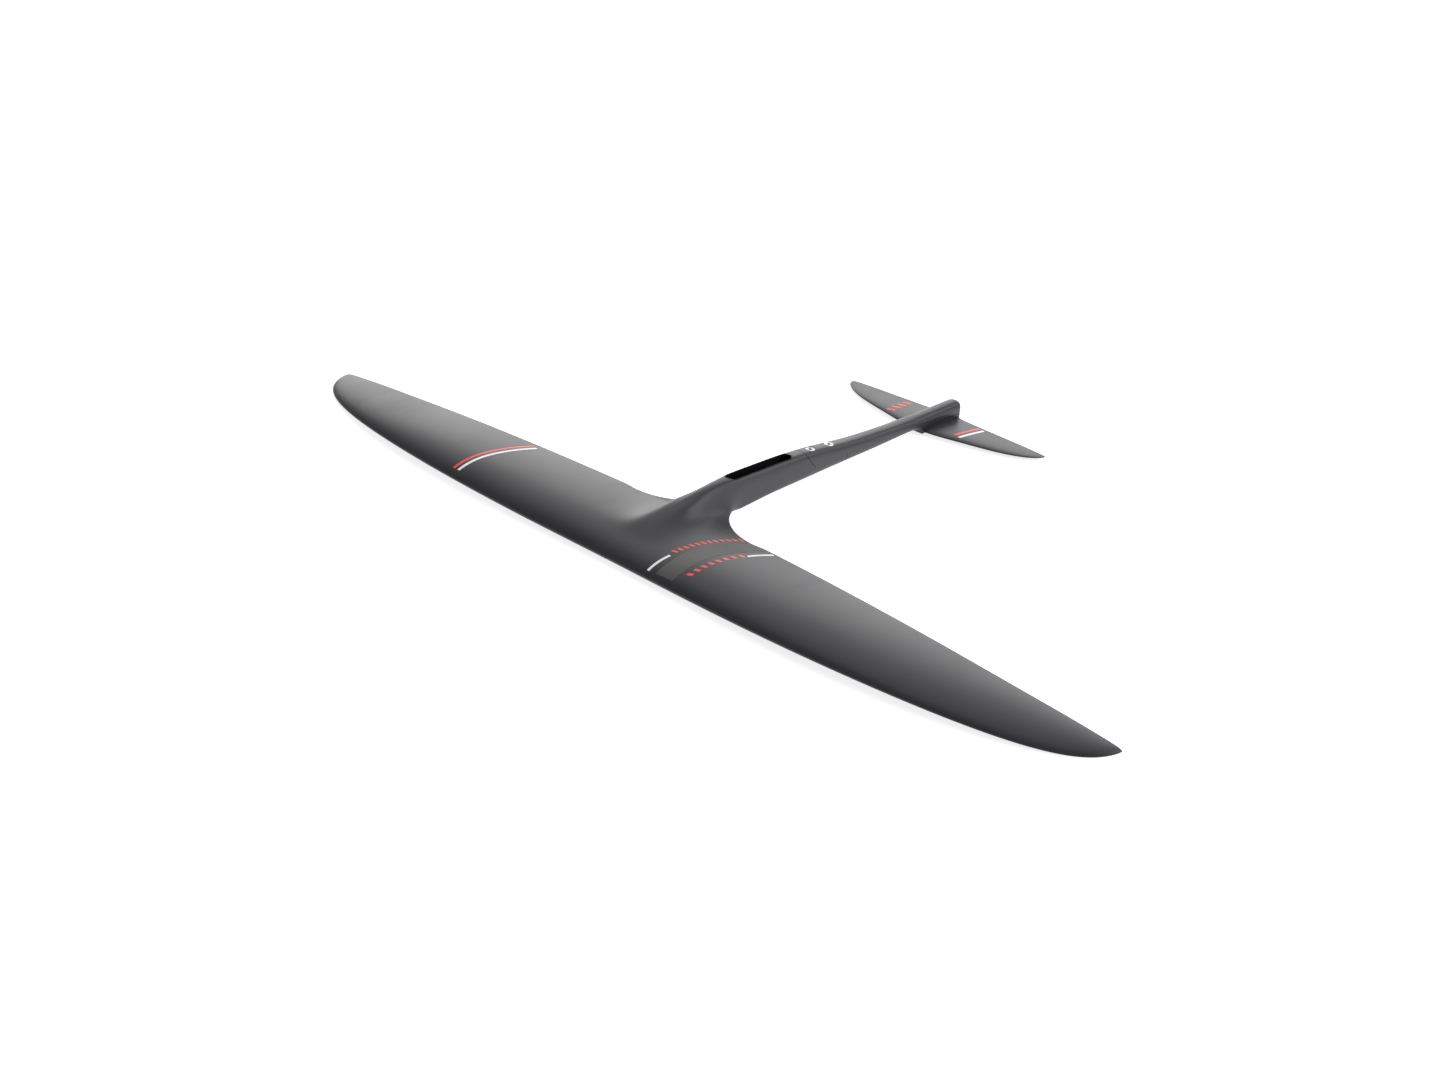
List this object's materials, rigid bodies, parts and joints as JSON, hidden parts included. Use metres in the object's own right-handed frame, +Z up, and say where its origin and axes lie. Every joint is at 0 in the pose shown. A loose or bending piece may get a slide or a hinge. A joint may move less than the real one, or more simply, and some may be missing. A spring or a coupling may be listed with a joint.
{
  "type": "hydrofoil mast wing",
  "caption": "Slim high-aspect front wing blended into a fuselage with a slotted mast pocket, a screwed tail boom and a small stabiliser under its end.",
  "frame": {"origin": "centre of the two mast bolts, on the floor of the mast pocket", "axes": "+X to the port wing tip (the longest way), +Y aft towards the stabiliser, +Z up out of the mast pocket"},
  "size_m": [1.2106, 0.624, 0.0463],
  "materials": {
    "carbon_coat": "satin dark grey paint on carbon laminate",
    "foam": "closed-cell foam",
    "carbon": "bare carbon laminate",
    "liner": "matt black",
    "steel": "stainless steel, turned",
    "insert": "machined brass",
    "shim": "matt black plastic sheet"
  },
  "bodies": {
    "front_wing": {"wing_upper_skin": "carbon_coat", "wing_lower_skin": "carbon_coat", "port_wing_core": "foam", "starboard_wing_core": "foam", "wing_spar": "carbon", "front_fuselage": "carbon_coat", "mast_pocket_liner": "liner", "mast_bolt_ferrules": "steel", "tongue_inserts": "insert"},
    "tail_boom": {"boom_shell": "carbon_coat", "boom_core": "foam", "boom_ferrules": "steel", "tail_inserts": "insert"},
    "front_boom_screw": {"front_boom_screw": "steel"},
    "rear_boom_screw": {"rear_boom_screw": "steel"},
    "tail_shim": {"tail_shim": "shim"},
    "stabiliser": {"stabiliser_upper_skin": "carbon_coat", "stabiliser_lower_skin": "carbon_coat", "port_stabiliser_core": "foam", "starboard_stabiliser_core": "foam", "stabiliser_ferrules": "steel"},
    "front_stabiliser_screw": {"front_stabiliser_screw": "steel"},
    "rear_stabiliser_screw": {"rear_stabiliser_screw": "steel"}
  },
  "joints": [
    {"name": "boom_lift", "type": "slide", "parent": "front_wing", "child": "tail_boom", "axis": [0, 0, 1], "range_m": [0, 0.04]},
    {"name": "front_boom_screw_out", "type": "slide", "parent": "tail_boom", "child": "front_boom_screw", "axis": [0, 0, 1], "range_m": [0, 0.03]},
    {"name": "rear_boom_screw_out", "type": "slide", "parent": "tail_boom", "child": "rear_boom_screw", "axis": [0, 0, 1], "range_m": [0, 0.03]},
    {"name": "shim_drop", "type": "slide", "parent": "tail_boom", "child": "tail_shim", "axis": [0, 0, -1], "range_m": [0, 0.006]},
    {"name": "stabiliser_drop", "type": "slide", "parent": "tail_shim", "child": "stabiliser", "axis": [0, 0, -1], "range_m": [0, 0.03]},
    {"name": "front_stabiliser_screw_out", "type": "slide", "parent": "stabiliser", "child": "front_stabiliser_screw", "axis": [0, 0, -1], "range_m": [0, 0.02]},
    {"name": "rear_stabiliser_screw_out", "type": "slide", "parent": "stabiliser", "child": "rear_stabiliser_screw", "axis": [0, 0, -1], "range_m": [0, 0.02]}
  ]
}
